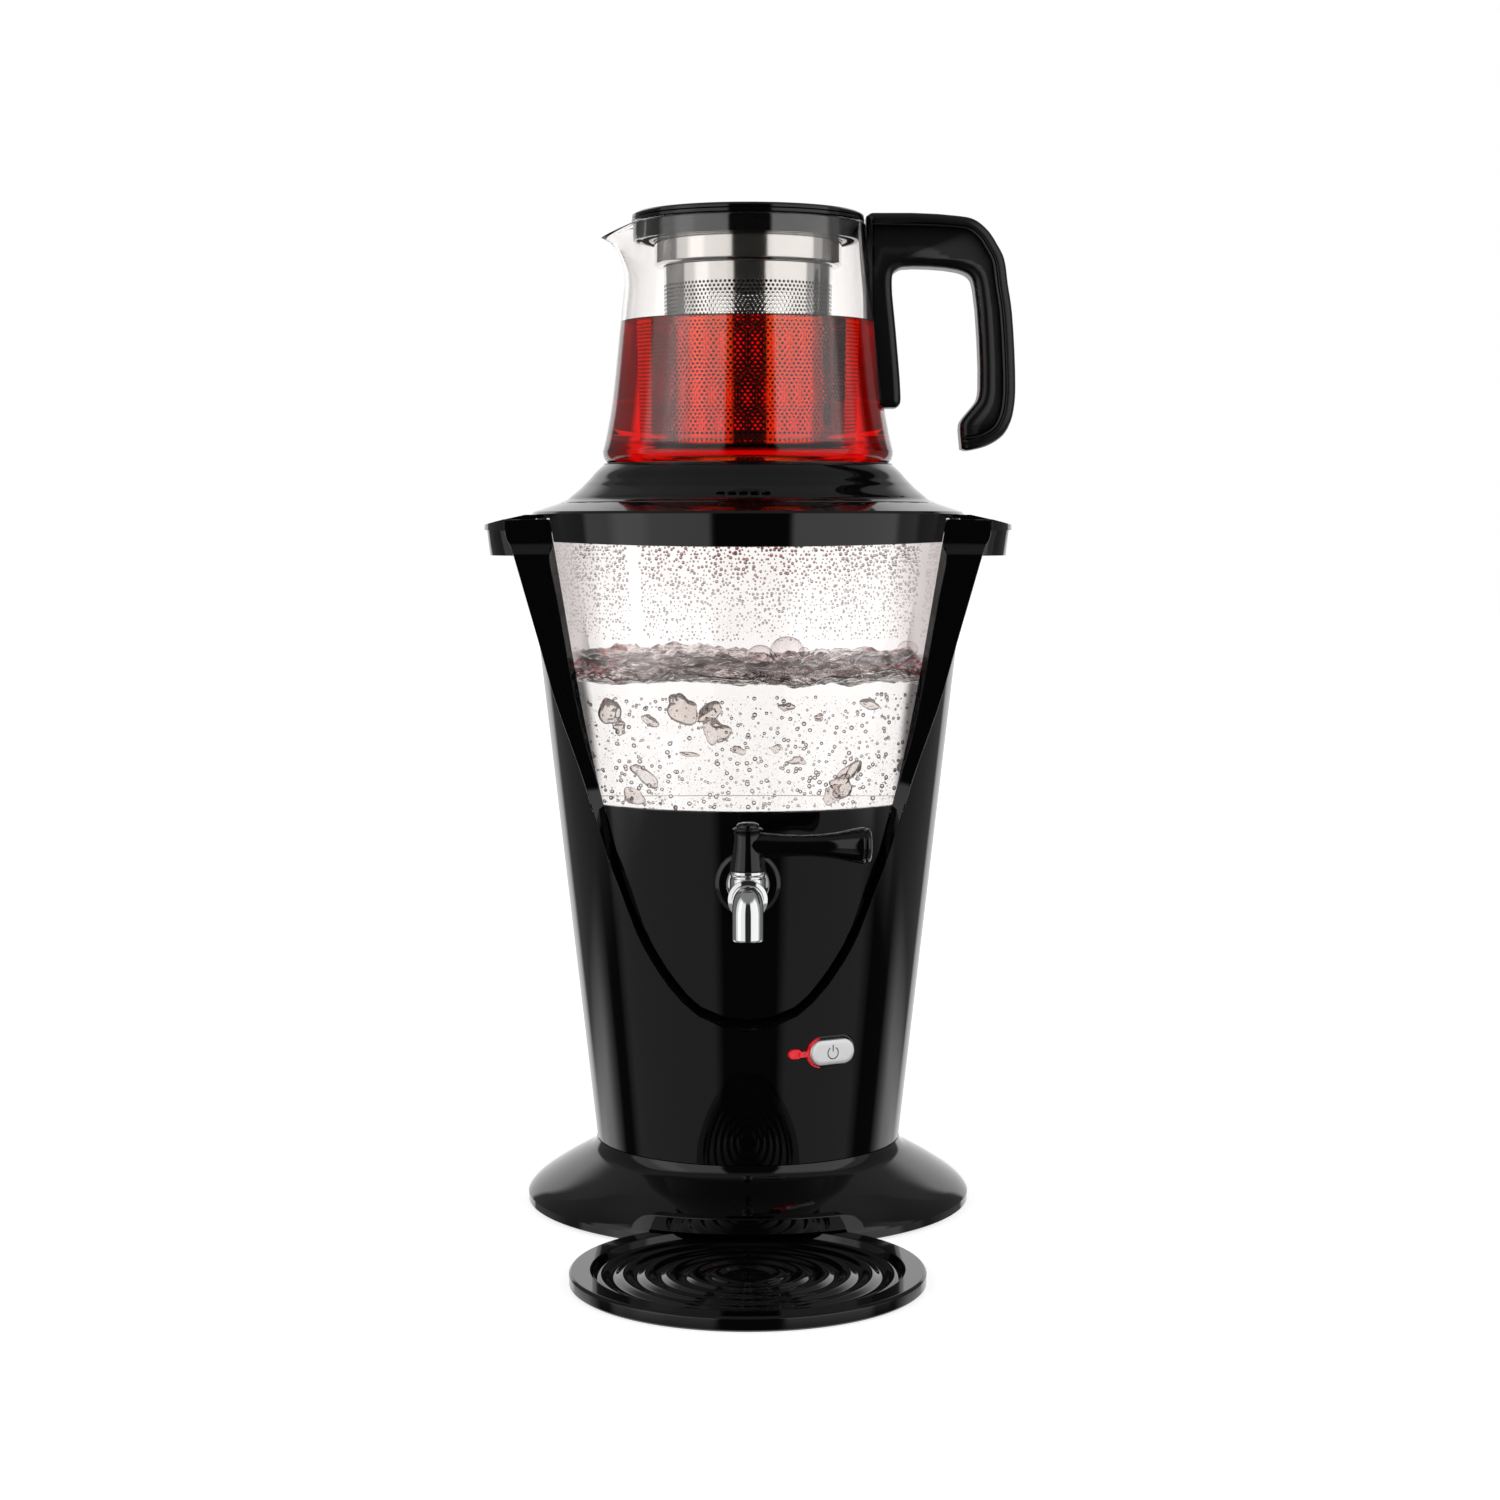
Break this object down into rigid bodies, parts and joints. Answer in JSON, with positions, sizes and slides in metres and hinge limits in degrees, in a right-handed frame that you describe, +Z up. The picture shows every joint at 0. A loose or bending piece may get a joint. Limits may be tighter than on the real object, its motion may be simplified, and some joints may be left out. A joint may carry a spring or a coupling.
{
  "type": "electric samovar",
  "caption": "Electric samovar: tapered glass water tank in a black housing with a tap, a lift-off tank lid, a glass teapot with a steel infuser on top, and a loose round drip tray.",
  "frame": {"origin": "on the table under the centre of the foot; the flat underside's centre is 1 mm above it", "axes": "+Z up, -Y is the front with the tap, +X is to the right seen from the front"},
  "size_m": [0.2516, 0.3404, 0.4706],
  "materials": {
    "gloss_black": "high gloss",
    "satin_black": "satin",
    "clear_glass": "clear",
    "chrome": "polished",
    "steel": "satin",
    "rubber": "matt",
    "silicone": "matt",
    "inner_plastic": "matt",
    "button_silver": "satin",
    "red_lens": "clear red"
  },
  "bodies": {
    "base": {"foot": "gloss_black", "base_plate": "inner_plastic", "rubber_foot_1": "rubber", "rubber_foot_2": "rubber", "rubber_foot_3": "rubber", "rubber_foot_4": "rubber", "base_screw_1": "steel", "base_screw_2": "steel", "base_screw_3": "steel", "base_screw_4": "steel", "housing": "gloss_black", "front_window_trim": "gloss_black", "rear_window_trim": "gloss_black", "side_handle_right": "gloss_black", "side_handle_left": "gloss_black", "front_panel": "gloss_black", "rear_panel": "gloss_black", "upper_ring": "gloss_black", "tank_glass": "clear_glass", "tank_seal": "silicone", "heater_plate": "steel", "heating_element": "steel", "thermostat": "satin_black", "inner_chassis": "inner_plastic", "tap_escutcheon": "satin_black", "tap_body": "chrome", "tap_spout": "chrome", "tap_nut": "steel", "tap_hose": "silicone", "switch_body": "satin_black", "indicator_lens": "red_lens", "cord_gland": "satin_black", "terminal_block": "inner_plastic"},
    "tank_lid": {"tank_lid": "gloss_black"},
    "teapot": {"teapot_glass": "clear_glass", "teapot_handle": "satin_black"},
    "infuser": {"infuser_collar": "satin_black", "strainer_ring": "steel", "strainer_cup": "steel"},
    "teapot_lid": {"teapot_lid": "gloss_black"},
    "tap_lever": {"tap_lever": "satin_black", "tap_plug": "steel"},
    "power_button": {"power_button": "button_silver"},
    "drip_tray": {"drip_tray": "gloss_black"}
  },
  "joints": [
    {"name": "tank_lid_lift", "type": "slide", "parent": "base", "child": "tank_lid", "axis": [0, 0, 1], "range_m": [0, 0.06]},
    {"name": "teapot_lift", "type": "slide", "parent": "tank_lid", "child": "teapot", "axis": [0, 0, 1], "range_m": [0, 0.12]},
    {"name": "infuser_lift", "type": "slide", "parent": "teapot", "child": "infuser", "axis": [0, 0, 1], "range_m": [0, 0.125]},
    {"name": "teapot_lid_lift", "type": "slide", "parent": "infuser", "child": "teapot_lid", "axis": [0, 0, 1], "range_m": [0, 0.05]},
    {"name": "tap_lever_turn", "type": "hinge", "parent": "base", "child": "tap_lever", "pos_m": [0, -0.10872, 0.18], "axis": [0, 0, 1], "range_deg": [-90, 0]},
    {"name": "power_button_press", "type": "slide", "parent": "base", "child": "power_button", "axis": [-0.4879, 0.8729, 0], "range_m": [0, 0.0016], "stiffness_N_per_m": 300},
    {"name": "drip_tray_draw", "type": "slide", "parent": "base", "child": "drip_tray", "axis": [0, -1, 0], "range_m": [0, 0.12]}
  ]
}
